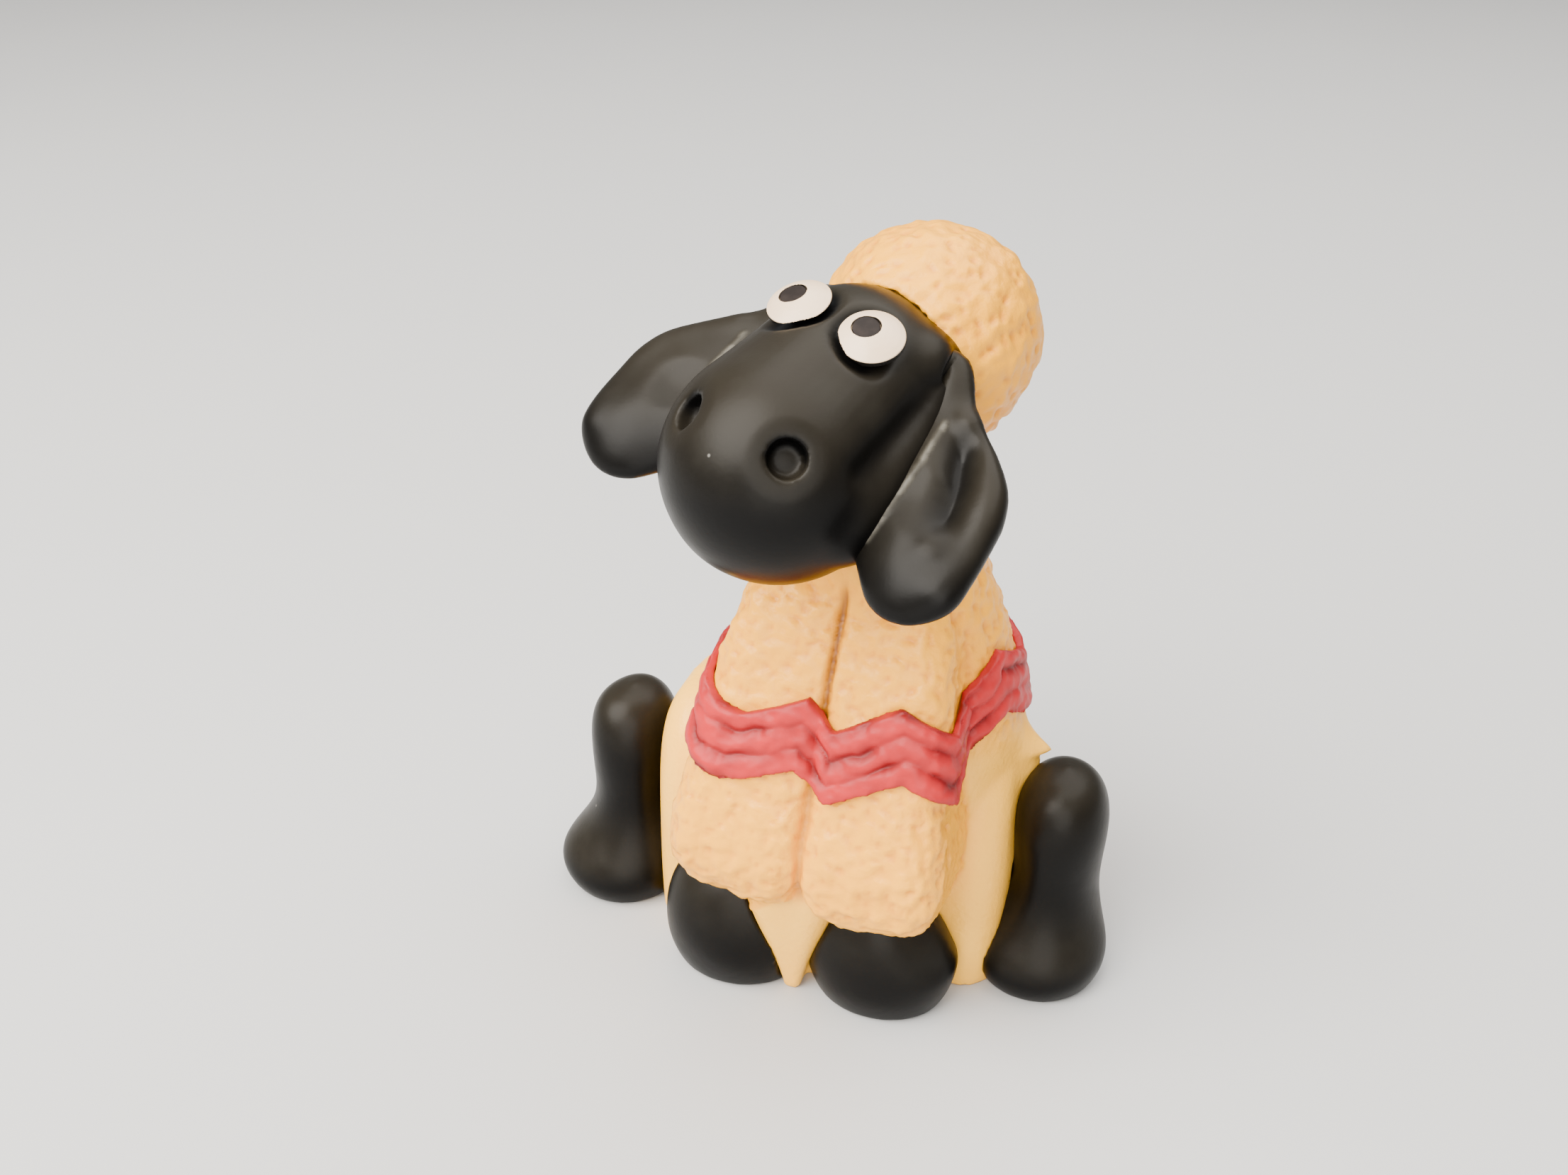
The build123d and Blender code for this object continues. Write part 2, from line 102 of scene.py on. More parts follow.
# one painted finish, with its node tree
class Paint:
    def __init__(self, name):
        self.material = bpy.data.materials.new(name)
        self.material.use_nodes = True
        self.tree = self.material.node_tree
        self.tree.nodes.clear()
        self.place = self.node("ShaderNodeTexCoord", out="Object")

    def node(self, kind, settings=None, sockets=None, out=0):
        made = self.tree.nodes.new(kind)
        for key, value in (settings or {}).items():
            setattr(made, key, value)
        for key, value in (sockets or {}).items():
            if isinstance(value, Wire):
                self.tree.links.new(value.socket, made.inputs[key])
            else:
                made.inputs[key].default_value = value
        if made.outputs:
            return Wire(self, made.outputs[out])

    def grain(self, perMillimetre, detail):
        return self.node("ShaderNodeTexNoise", {}, {
            "Vector": self.place, "Scale": perMillimetre * perMetre, "Detail": detail})

    def specks(self, perMillimetre):
        return self.node("ShaderNodeTexVoronoi", {"feature": "F1"}, {
            "Vector": self.place, "Scale": perMillimetre * perMetre}, out="Distance")

    def ease(self, value, low, high):
        return self.node("ShaderNodeMapRange", {"interpolation_type": "SMOOTHSTEP"}, {
            "Value": value, "From Min": low, "From Max": high})

    def patches(self, settings):
        grain = self.grain(settings["grain"], settings["detail"])
        return self.ease(grain, *settings["range"]) * settings["share"]

    def own(self, attribute):
        return self.node("ShaderNodeAttribute", {"attribute_name": attribute}, out="Fac")

    def mix(self, share, a, b):
        return self.node("ShaderNodeMix", {"data_type": "RGBA"}, {0: share, 6: a, 7: b}, out=2)

    # uneven roughness, half of its spread on each side of the middle
    def gloss(self, settings):
        grain = self.grain(settings["grain"], settings["detail"])
        return grain * settings["spread"] + (settings["middle"] - settings["spread"] / 2)

    def skin(self, settings):
        grain = self.grain(settings["grain"], settings["detail"])
        return self.node("ShaderNodeBump", {}, {
            "Strength": settings["strength"], "Distance": settings["depth"] / perMetre, "Height": grain})

    def finish(self, sockets):
        shader = self.node("ShaderNodeBsdfPrincipled", {}, sockets)
        self.node("ShaderNodeOutputMaterial", {}, {"Surface": shader})
        return self.material


# copies of the CAD nodes, evened out and worked on in millimetres
def softCopy(node, name, settings):
    shape = bmesh.new()
    shape.from_mesh(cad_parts[node].data)
    bmesh.ops.remove_doubles(shape, verts=shape.verts, dist=weldDistance)
    bmesh.ops.scale(shape, vec=(perMetre, perMetre, perMetre), verts=shape.verts)
    mesh = bpy.data.meshes.new(name)
    shape.to_mesh(mesh)
    shape.free()
    piece = bpy.data.objects.new(name, mesh)
    scene.collection.objects.link(piece)
    even = piece.modifiers.new("even", "REMESH")
    even.mode = "VOXEL"
    even.voxel_size = settings["voxel"]
    evened = piece.evaluated_get(bpy.context.evaluated_depsgraph_get())
    piece.data = bpy.data.meshes.new_from_object(evened)
    piece.data.name = name
    piece.modifiers.clear()
    bpy.data.meshes.remove(mesh)
    relax(piece, settings["relax"])
    return piece


def relax(piece, rounds, chosen=None):
    shape = bmesh.new()
    shape.from_mesh(piece.data)
    shape.verts.ensure_lookup_table()
    corners = shape.verts
    if chosen is not None:
        corners = [shape.verts[index] for index in np.flatnonzero(chosen)]
    for _ in range(rounds):
        bmesh.ops.smooth_vert(shape, verts=corners, factor=relaxFactor,
                              use_axis_x=True, use_axis_y=True, use_axis_z=True)
    shape.to_mesh(piece.data)
    shape.free()
    piece.data.update()


def readVectors(piece, kind):
    values = np.empty(len(piece.data.vertices) * 3)
    piece.data.vertices.foreach_get(kind, values)
    return values.reshape(-1, 3)


def readPoints(piece):
    return readVectors(piece, "co")


def readNormals(piece):
    return readVectors(piece, "normal")


def setPoints(piece, points):
    piece.data.vertices.foreach_set("co", points.ravel())
    piece.data.update()


def push(piece, amounts):
    setPoints(piece, readPoints(piece) + readNormals(piece) * amounts[:, None])


def shift(piece, amounts, direction):
    setPoints(piece, readPoints(piece) + np.outer(amounts, direction))


def keepValue(piece, name, values):
    attribute = piece.data.attributes.new(name, "FLOAT", "POINT")
    attribute.data.foreach_set("value", np.asarray(values, np.float32))


def smooth(low, high, values):
    share = np.clip((values - low) / (high - low), 0, 1)
    return share * share * (3 - 2 * share)


# 1 on the spot, fading out over a width
def bell(distances, width, power=2):
    return np.exp(-(distances / width) ** power)


def atLeast(least, share):
    return least + (1 - least) * share


def lumps(points, size, seed):
    offset = Vector([seed * step for step in seedSteps])
    return np.array([noise.noise(Vector(p) / size + offset) for p in points])


# lumps of several sizes added up, from rows of size, seed and height
def lumpRows(points, rows):
    return sum(lumps(points, size, seed) * height for size, seed, height in rows)


def moved(points, matrix):
    array = np.array(matrix)
    return points @ array[:3, :3].T + array[:3, 3]


def mirrored(points, side):
    return points * np.array((side, 1, 1))


# a direction on the head, for one of its sides, as it stands in the frame
def headDirection(direction, side=1):
    return np.array(headFrame.to_3x3() @ (Vector(direction) * Vector((side, 1, 1))))


def distanceTo(points, place):
    return np.linalg.norm(points - np.array(place), axis=1)


# how far points lie from a bent line
def lineDistance(points, line):
    distances = np.full(len(points), np.inf)
    for start, end in zip(np.array(line), np.array(line[1:])):
        reach = end - start
        share = np.clip((points - start) @ reach / (reach @ reach), 0, 1)
        away = np.linalg.norm(points - start - np.outer(share, reach), axis=1)
        distances = np.minimum(distances, away)
    return distances


def pointTree(points):
    tree = KDTree(len(points))
    for index, point in enumerate(points):
        tree.insert(point, index)
    tree.balance()
    return tree


# how far points lie from the nearest of some others
def nearest(points, others):
    tree = pointTree(others)
    return np.array([tree.find(point)[2] for point in points])


# how deep each point lies in a hollow, 0 to 1
def hollows(piece, rounds, fullDepth):
    points = readPoints(piece)
    edges = np.empty(len(piece.data.edges) * 2, np.int32)
    piece.data.edges.foreach_get("vertices", edges)
    a, b = edges.reshape(-1, 2).T
    count = np.bincount(edges, minlength=len(points))[:, None].astype(float)
    even = points.copy()
    for _ in range(rounds):
        total = np.zeros_like(even)
        for axis in range(3):
            fromA = np.bincount(a, even[b, axis], len(even))
            fromB = np.bincount(b, even[a, axis], len(even))
            total[:, axis] = fromA + fromB
        even = (1 - relaxFactor) * even + relaxFactor * total / count
    return np.clip(np.einsum("ij,ij->i", even - points, readNormals(piece)) / fullDepth, 0, 1)


# moulded wool: dents and short strokes scattered over a piece, deepest where the share is 1
def woolDents(piece, share, settings):
    points, normals = readPoints(piece), readNormals(piece)
    picker = np.random.default_rng(settings["seed"])
    tree = pointTree(points)
    taken, depths = set(), np.zeros(len(points))
    for index in picker.permutation(len(points)):
        if share[index] < settings["leastShare"]:
            continue
        cell = tuple(np.floor(points[index] / settings["spacing"]).astype(int))
        if cell in taken:
            continue
        taken.add(cell)
        length = picker.uniform(*settings["length"])
        width = picker.uniform(*settings["width"])
        depth = picker.uniform(*settings["depth"]) * share[index]
        normal = Vector(normals[index])
        stray = Vector(picker.normal(size=3)) * settings["stray"]
        stroke = (Vector((0, 0, -1)) + stray).cross(normal).cross(normal).normalized()
        centre = Vector(points[index])
        for place, near, distance in tree.find_range(centre, length):
            along = (place - centre).dot(stroke)
            across = max(0, distance * distance - along * along) ** 0.5
            reach = (along / length) ** 2 + (across / width) ** 2
            if reach < 1:
                depths[near] = max(depths[near], depth * (1 - reach) ** 2)
    return depths


def settle(piece, body, node, material):
    shape = bmesh.new()
    shape.from_mesh(piece.data)
    bmesh.ops.scale(shape, vec=(1 / perMetre, 1 / perMetre, 1 / perMetre), verts=shape.verts)
    bmesh.ops.recalc_face_normals(shape, faces=shape.faces)
    for face in shape.faces:
        face.smooth = True
    shape.to_mesh(piece.data)
    shape.free()
    piece.data.materials.clear()
    piece.data.materials.append(material)
    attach(piece, body)
    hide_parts(node)
    print(piece.name, len(piece.data.polygons), "faces")


# cream wool paint: paler where smooth, painted shade in the dents and folds, and brown in the creases, where
# a dark wash is deepened with painted shade
creamPaint = {
    "smooth": (0.97, 0.50, 0.052, 1), "wool": (0.93, 0.40, 0.010, 1), "dent": (0.68, 0.22, 0.004, 1),
    "crease": (0.16, 0.04, 0.002, 1), "foldShade": (0.60, 0.19, 0.005, 1),
    "dentShare": 0.55, "foldShare": 0.6, "creaseShare": 0.9, "specular": 0.3,
    "patches": {"grain": 0.35, "detail": 3, "range": (0.3, 0.75), "share": 0.12},
    "gloss": {"grain": 1.5, "detail": 3, "middle": 0.36, "spread": 0.4},
    "skin": {"grain": 3, "detail": 3, "depth": 0.07, "strength": 0.7},
}
capPaint = dict(creamPaint, smooth=(0.84, 0.36, 0.004, 1), wool=(0.84, 0.36, 0.003, 1),
                dent=(0.58, 0.18, 0.001, 1))


def woolFinish(name, settings):
    paint = Paint(name)
    tone = paint.mix(paint.own("wool"), settings["smooth"], settings["wool"])
    tone = paint.mix(paint.patches(settings["patches"]), tone, settings["dent"])
    # the dent, fold and crease tones below are painted shade in the hollows; the creases also carry a brown
    # wash
    tone = paint.mix(paint.own("dent") * settings["dentShare"], tone, settings["dent"])
    tone = paint.mix(paint.own("foldShade") * settings["foldShare"], tone, settings["foldShade"])
    tone = paint.mix(paint.own("crease") * settings["creaseShare"], tone, settings["crease"])
    return paint.finish({
        "Base Color": tone, "Roughness": paint.gloss(settings["gloss"]),
        "Specular IOR Level": settings["specular"], "Normal": paint.skin(settings["skin"])})


creamWool = woolFinish("creamWool", creamPaint)
capWool = woolFinish("capWool", capPaint)

# satin black vinyl with a little dust, greyer where it faces up: painted light on top, uneven lit patches
# there, and painted shade beneath
blackPaint = {
    "under": (0.0012, 0.0011, 0.0011, 1), "top": (0.0145, 0.0120, 0.0082, 1),
    "wornAndLit": (0.018, 0.016, 0.012, 1), "dust": (0.2, 0.19, 0.17, 1), "chip": (0.10, 0.092, 0.074, 1),
    "specular": 0.11, "upward": (-0.1, 0.95),
    "specks": 0.23, "speckSize": (0.010, 0.024), "dustShare": 0.6, "dustRoughness": 0.3,
    "patches": {"grain": 0.4, "detail": 3, "range": (0.4, 0.75), "share": 0.5},
    "gloss": {"grain": 0.8, "detail": 3, "middle": 0.36, "spread": 0.12},
    "skin": {"grain": 5, "detail": 2, "depth": 0.02, "strength": 0.2},
}
paint = Paint("blackVinyl")
dust = 1 - paint.ease(paint.specks(blackPaint["specks"]), *blackPaint["speckSize"])
# painted light: the black greys where it faces up, with lit patches only on those parts; painted shade where
# it faces down
tone = paint.mix(paint.own("top"), blackPaint["under"], blackPaint["top"])
tone = paint.mix(paint.patches(blackPaint["patches"]) * paint.own("top"), tone, blackPaint["wornAndLit"])
tone = paint.mix(dust * blackPaint["dustShare"], tone, blackPaint["dust"])
tone = paint.mix(paint.own("chip"), tone, blackPaint["chip"])
blackVinyl = paint.finish({
    "Base Color": tone, "Roughness": paint.gloss(blackPaint["gloss"]) + dust * blackPaint["dustRoughness"],
    "Specular IOR Level": blackPaint["specular"], "Normal": paint.skin(blackPaint["skin"])})


# how far each point faces up, which sets the painted light on the black paint
def facingUp(piece):
    return smooth(*blackPaint["upward"], readNormals(piece)[:, 2])


# red band paint: painted light makes it paler on the rolls, painted shade darker between them
bandPaint = {
    "litRidge": (0.46, 0.015, 0.019, 1), "groove": (0.15, 0.0035, 0.005, 1), "specular": 0.25,
    "patches": {"grain": 0.8, "detail": 3, "range": (0.35, 0.8), "share": 0.25},
    "gloss": {"grain": 1.5, "detail": 2, "middle": 0.45, "spread": 0.2},
    "skin": {"grain": 4, "detail": 2, "depth": 0.03, "strength": 0.35},
}
paint = Paint("redBand")
tone = paint.mix(paint.own("litRidge"), bandPaint["groove"], bandPaint["litRidge"])
tone = paint.mix(paint.patches(bandPaint["patches"]), tone, bandPaint["groove"])
redBand = paint.finish({
    "Base Color": tone, "Roughness": paint.gloss(bandPaint["gloss"]),
    "Specular IOR Level": bandPaint["specular"], "Normal": paint.skin(bandPaint["skin"])})

# eye white, with a painted shadow in black under its rim
eyePaint = {
    "white": (0.67, 0.50, 0.33, 1), "shade": (0.54, 0.38, 0.22, 1), "under": (0.004, 0.0035, 0.003, 1),
    "patches": {"grain": 0.9, "detail": 2, "range": (0.35, 0.8), "share": 0.3},
    "gloss": {"grain": 1.5, "detail": 2, "middle": 0.33, "spread": 0.1},
    "skin": {"grain": 5, "detail": 2, "depth": 0.01, "strength": 0.2},
}
paint = Paint("eyeWhite")
tone = paint.mix(paint.patches(eyePaint["patches"]), eyePaint["white"], eyePaint["shade"])
tone = paint.mix(paint.own("under"), tone, eyePaint["under"])
eyeWhite = paint.finish({
    "Base Color": tone, "Roughness": paint.gloss(eyePaint["gloss"]), "Normal": paint.skin(eyePaint["skin"])})

# pupil paint
pupilPaint = {
    "dark": (0.010, 0.007, 0.006, 1), "wornAndLit": (0.018, 0.013, 0.011, 1), "specular": 0.12,
    "patches": {"grain": 2, "detail": 2, "range": (0.35, 0.8), "share": 1.0},
    "gloss": {"grain": 2, "detail": 2, "middle": 0.495, "spread": 0.15},
    "skin": {"grain": 6, "detail": 2, "depth": 0.01, "strength": 0.3},
}
paint = Paint("pupilDark")
tone = paint.mix(paint.patches(pupilPaint["patches"]), pupilPaint["dark"], pupilPaint["wornAndLit"])
pupilDark = paint.finish({
    "Base Color": tone, "Roughness": paint.gloss(pupilPaint["gloss"]),
    "Specular IOR Level": pupilPaint["specular"], "Normal": paint.skin(pupilPaint["skin"])})

# plain plastic of the neck peg
pegPaint = {
    "dark": (0.55, 0.53, 0.5, 1), "pale": (0.62, 0.6, 0.56, 1), "grain": 1, "detail": 2,
    "gloss": {"grain": 3, "detail": 2, "middle": 0.45, "spread": 0.1},
}
paint = Paint("pegPlastic")
tone = paint.mix(paint.grain(pegPaint["grain"], pegPaint["detail"]), pegPaint["dark"], pegPaint["pale"])
pegPlastic = paint.finish({"Base Color": tone, "Roughness": paint.gloss(pegPaint["gloss"])})
print("finishes mixed")

# torso, where most pairs of numbers are the two ends of a fade
torso = {
    "voxel": 0.19, "relax": 3,
    "rumpDepth": (0.5, 7.5), "rumpTop": (14, 18), "rumpTaper": 0.2, "rumpTuck": 0.5, "tuckTop": (0.0, 5.0),
    "rumpRelax": 50, "tail": ((0, 6.7, 7.5), (0, 9.3, 6.0)), "tailReach": 3.0,
    "legEdge": (0.05, 0.35), "upperWool": (15.7, 18.7), "backWool": (1.5, 5.0), "lowestWool": (0.4, 1.2),
    "neckReach": (4.3, 5.4),
    "fineLumps": ((0.55, 1, 0.13), (1.1, 3, 0.16)), "broadLumps": ((4.5, 2, 0.12),),
    "creaseWidth": 0.2, "creaseDepth": 0.3, "creaseFront": -3, "creaseFoot": (7.8, 9.0),
    "creaseTop": (26.0, 28.0), "creaseDark": (13, 20), "creaseLeast": 0.3,
    "tip": (10.75, -1.0, 14.5), "tipRise": 1.25, "tipWidth": 0.75, "tipPower": 1.4,
    "tipAbove": 0.6, "tipBelow": 2.2,
    "fills": (((10.8, -0.8, 13.4), 1.0, 1.4), ((10.6, -0.5, 8.0), 0.6, 3.2)),
    "dentFull": 0.12, "reliefTone": 2.2, "foldRounds": 30, "foldDepth": 0.5, "foldFoot": (0.5, 2),
    "legFoot": (4.1, -9.3, 7.4), "legLean": -14.5, "legClose": -4.9, "legLength": 22.0,
    "legHalf": (4.2, 4.8), "legCorner": 0.5,
    "legRows": ((0, 0.62), (0.035, 0.84), (0.11, 0.98), (0.25, 1.0), (0.55, 0.9), (0.85, 0.7), (1, 0.42)),
    "dents": {"seed": 4, "spacing": 0.82, "length": (0.3, 0.6), "width": (0.2, 0.34),
              "depth": (0.03, 0.14), "stray": 1.2, "leastShare": 0.15},
}


# how far points lie outside the two wool columns
def legDistance(points):
    near = np.full(len(points), np.inf)
    pose = (Matrix.Translation(torso["legFoot"])
            @ Matrix.Rotation(math.radians(torso["legLean"]), 4, "X")
            @ Matrix.Rotation(math.radians(torso["legClose"]), 4, "Y"))
    heights, shares = zip(*torso["legRows"])
    for side in sides.values():
        local = moved(mirrored(points, side), pose.inverted())
        rise = local[:, 2] / torso["legLength"]
        half = np.outer(np.interp(rise, heights, shares), torso["legHalf"])
        corner = half.min(axis=1) * torso["legCorner"]
        outside = np.maximum(np.abs(local[:, :2]) - (half - corner[:, None]), 0)
        beyond = np.maximum(-rise, rise - 1).clip(0) * torso["legLength"]
        near = np.minimum(near, np.linalg.norm(outside, axis=1) - corner + beyond)
    return near


piece = softCopy("torso", "torsoWool", torso)
points = readPoints(piece)
rump = smooth(*torso["rumpDepth"], points[:, 1]) * (1 - smooth(*torso["rumpTop"], points[:, 2]))
tuck = rump * (1 - smooth(*torso["tuckTop"], points[:, 2]))
shift(piece, -torso["rumpTaper"] * rump * points[:, 0], (1, 0, 0))
shift(piece, -torso["rumpTuck"] * tuck, (0, 1, 0))
awayFromTail = lineDistance(points, torso["tail"]) > torso["tailReach"]
relax(piece, torso["rumpRelax"], (points[:, 1] > 0) & awayFromTail)
points = readPoints(piece)
upright = moved(points, leanFrame.inverted())
onLeg = 1 - smooth(*torso["legEdge"], legDistance(upright))
upper = smooth(*torso["upperWool"], upright[:, 2])
behind = smooth(*torso["backWool"], points[:, 1])
onNeck = 1 - smooth(*torso["neckReach"], distanceTo(upright, neck))
wool = np.maximum(np.maximum(onLeg, upper), behind) * smooth(*torso["lowestWool"], points[:, 2])
dents = woolDents(piece, wool, torso["dents"])
relief = lumpRows(points, torso["fineLumps"])
swell = relief + lumpRows(points, torso["broadLumps"])
swell = swell * (1 - onNeck) - np.abs(relief) * onNeck  # the head turns close over the neck
crease = bell(upright[:, 0], torso["creaseWidth"]) * (points[:, 1] < torso["creaseFront"])
crease = crease * smooth(*torso["creaseFoot"], points[:, 2])
crease = crease * (1 - smooth(*torso["creaseTop"], points[:, 2]))
push(piece, (swell * wool - dents) * (1 - crease) - crease * torso["creaseDepth"])

# the pointed web tip over the left hind leg, and the web filled out below it
fromTip = points - np.array(torso["tip"])
fromTip[:, 2] *= np.where(fromTip[:, 2] > 0, torso["tipAbove"], torso["tipBelow"])
web = torso["tipRise"] * bell(np.linalg.norm(fromTip, axis=1), torso["tipWidth"], torso["tipPower"])
for place, rise, width in torso["fills"]:
    web = web + rise * bell(distanceTo(points, place), width)
shift(piece, web, (1, 0, 0))
keepValue(piece, "wool", wool)
# painted shade: darker in the dents and where the lumps sink
dentTone = smooth(0, torso["dentFull"], dents) - relief * torso["reliefTone"]
keepValue(piece, "dent", np.clip(dentTone, 0, 1) * wool)
# the crease's brown wash, deepened with painted shade, darkest high up
darkening = smooth(*torso["creaseDark"], points[:, 2])
keepValue(piece, "crease", crease * atLeast(torso["creaseLeast"], darkening))
# painted shade in the hollows, faded out near the ground
folds = hollows(piece, torso["foldRounds"], torso["foldDepth"])
keepValue(piece, "foldShade", folds * smooth(*torso["foldFoot"], points[:, 2]))
settle(piece, "body", "torso", creamWool)

# zigzag band: soft rolls, hand-pressed and uneven
band = {
    "voxel": 0.12, "relax": 2, "height": 18.7, "width": 3.8, "swing": 0.8, "centreBack": 2.732,
    "turns": ((-28, -1), (-6, 1), (6, -1), (30, 1), (48, -1), (80, 3.2), (106, 0.8), (134, 2.4),
              (162, 0.4), (190, 2.4), (218, 0.4), (246, 1.0), (274, -1.6), (302, 0.3), (332, -1)),
    "roll": 0.34, "rolls": 3, "rollPower": 0.8, "rollMiddle": 0.45,
    "wander": ((3.4, 5, 0.3), (1.0, 7, 0.12)),
    "strengthLumps": (2.2, 9), "strengthRange": (-0.3, 0.25), "strengthLeast": 0.4,
    "uneven": ((0.8, 6, 0.1), (0.4, 10, 0.05)), "outside": (0.1, 0.5),
    "grooveTone": 1.1, "toneLumps": ((1.2, 8, 0.3),),
    "lifts": ({"angle": 38.0, "spread": 24.0, "rise": 0.75, "toward": (0.0, 0.25, 0.97)},
              {"angle": 294.0, "spread": 18.0, "rise": 1.6, "toward": (0.20, 0.0, 0.97)}),
}
piece = softCopy("zigzag_band", "zigzagBand", band)
points = readPoints(piece)
upright = moved(points, leanFrame.inverted())
outward = np.stack([upright[:, 0], upright[:, 1] + band["centreBack"]], axis=1)
angles = np.degrees(np.arctan2(outward[:, 0], -outward[:, 1]))
turnAngles, turnRises = zip(*band["turns"])
angles = np.where(angles < turnAngles[0], angles + 360, angles)
rises = np.interp(angles, turnAngles, turnRises) * band["swing"]
across = (upright[:, 2] - band["height"] - rises) / (band["width"] / 2)
across = across + lumpRows(points, band["wander"])
strength = smooth(*band["strengthRange"], lumps(points, *band["strengthLumps"]))
rolls = np.abs(np.sin(band["rolls"] * math.pi / 2 * (across + 1))) ** band["rollPower"]
between = (1 - rolls) * atLeast(band["strengthLeast"], strength)
outward = outward / np.linalg.norm(outward, axis=1)[:, None]
facing = smooth(*band["outside"], np.einsum("ij,ij->i", outward, readNormals(piece)[:, :2]))
uneven = lumpRows(points, band["uneven"])
push(piece, facing * (band["roll"] * (band["rollMiddle"] - between) + uneven))
# painted light on the rolls and painted shade in the grooves between them, with random tone lumps
litRidge = 1 - between * band["grooveTone"] + lumpRows(points, band["toneLumps"])
keepValue(piece, "litRidge", np.clip(litRidge, 0, 1))
for lift in band["lifts"]:
    shift(piece, bell(angles - lift["angle"], lift["spread"]) * lift["rise"], lift["toward"])
settle(piece, "body", "zigzag_band", redBand)

# wool cap, wrinkled low at the back of the head, with painted shade in its dents, wrinkles and hollows and
# low down at the back
cap = {
    "voxel": 0.16, "relax": 3, "neckReach": (4.4, 5.6),
    "fineLumps": ((0.7, 11, 0.11), (1.3, 13, 0.13)), "broadLumps": ((4, 12, 0.15),),
    "middleHeight": 39.5, "low": (0.5, -4.5),
    "wrinklePitch": 5.5, "wrinkleWander": ((2.2, 14, 5),), "wrinkleHeight": 0.07, "wrinkleTone": 6,
    "dentFull": 0.14, "reliefTone": 2.2, "creaseRounds": 14, "creaseDepth": 0.25, "foldShare": 0.8,
    "keepEvery": 4,
    "dents": {"seed": 9, "spacing": 0.95, "length": (0.3, 0.55), "width": (0.24, 0.4),
              "depth": (0.03, 0.15), "stray": 2.0, "leastShare": 0.15},
}
piece = softCopy("wool_cap", "woolCap", cap)
points = readPoints(piece)
local = moved(points, headFrame.inverted())
awayFromNeck = smooth(*cap["neckReach"], distanceTo(local, neck))
dents = woolDents(piece, awayFromNeck, cap["dents"])
relief = lumpRows(points, cap["fineLumps"])
low = smooth(*cap["low"], local[:, 2] - cap["middleHeight"])
waves = np.sin(local[:, 2] * cap["wrinklePitch"] + lumpRows(points, cap["wrinkleWander"]))
wrinkle = waves * low * cap["wrinkleHeight"]
push(piece, awayFromNeck * (relief + wrinkle + lumpRows(points, cap["broadLumps"])) - dents)
keepValue(piece, "wool", awayFromNeck)
# painted shade in the dents, where the lumps sink and in the wrinkle troughs, then in the hollows and low
# down at the back
dentTone = smooth(0, cap["dentFull"], dents) - relief * cap["reliefTone"] - wrinkle * cap["wrinkleTone"]
keepValue(piece, "dent", np.clip(dentTone, 0, 1))
keepValue(piece, "crease", hollows(piece, cap["creaseRounds"], cap["creaseDepth"]) ** 2)
keepValue(piece, "foldShade", low * cap["foldShare"])
capPoints = readPoints(piece)[::cap["keepEvery"]]
settle(piece, "head", "wool_cap", capWool)

# ears, each with a raised rim and a chipped seam along the cheek, the left one with a groove; painted light
# where they face up, less toward the tip, with painted shade in the groove
ear = {
    "voxel": 0.13, "relax": 6, "look": (0.429, -0.769, 0.475), "keepEvery": 3,
    "groove": ((6.70, -8.30, 39.75), (7.11, -9.05, 39.38), (7.68, -10.08, 38.87), (8.22, -11.15, 38.30),
               (8.48, -11.74, 37.60), (8.85, -12.94, 36.63), (9.10, -13.90, 35.80)),
    "grooveDepth": {"left": 0.9, "right": 0.0}, "grooveWidth": 0.8, "grooveEnds": (0.2, 2.2),
    "rim": ((7.19, -8.44, 39.57), (8.58, -9.18, 38.93), (9.95, -10.50, 38.16), (10.62, -11.82, 37.12),
            (10.78, -13.15, 35.87), (10.58, -14.76, 34.58)),
    "rimHeight": 0.3, "rimWidth": 0.9,
    "root": (4.5, -7.0, 40.05), "rootSwell": 0.5, "rootReach": 1.5,
    "rootStretch": 0.9, "rootToward": (-0.35, 0.65, 0.67),
    "leafFrom": 2.5, "leafRelax": 12, "lastRelax": 4,
    "belly": (9.0, -14.5, 35.2), "bellyRise": 0.55, "bellyReach": 2.3,
    "front": (0.0, -0.85, 0.53), "frontFacing": (0.1, 0.7),
    "seam": ((6.01, -9.08, 39.42), (6.13, -10.05, 38.86), (6.25, -11.00, 38.30), (6.24, -11.84, 37.63),
             (6.18, -12.69, 36.92), (6.14, -13.56, 36.18), (5.90, -14.26, 35.12)),
    "seamHeight": 0.08, "seamWidth": 0.14, "seamFacing": (-0.1, 0.2),
    "chipLumps": (0.45, 41), "chipRange": (-0.2, 0.2), "chipLeast": 0.4,
    "tipDark": (34.0, 38.5), "tipLeast": 0.25,
}


# points as seen along the view of the ear, without their depth
def flatten(points):
    look = np.array(ear["look"])
    return points - np.outer(points @ look, look)


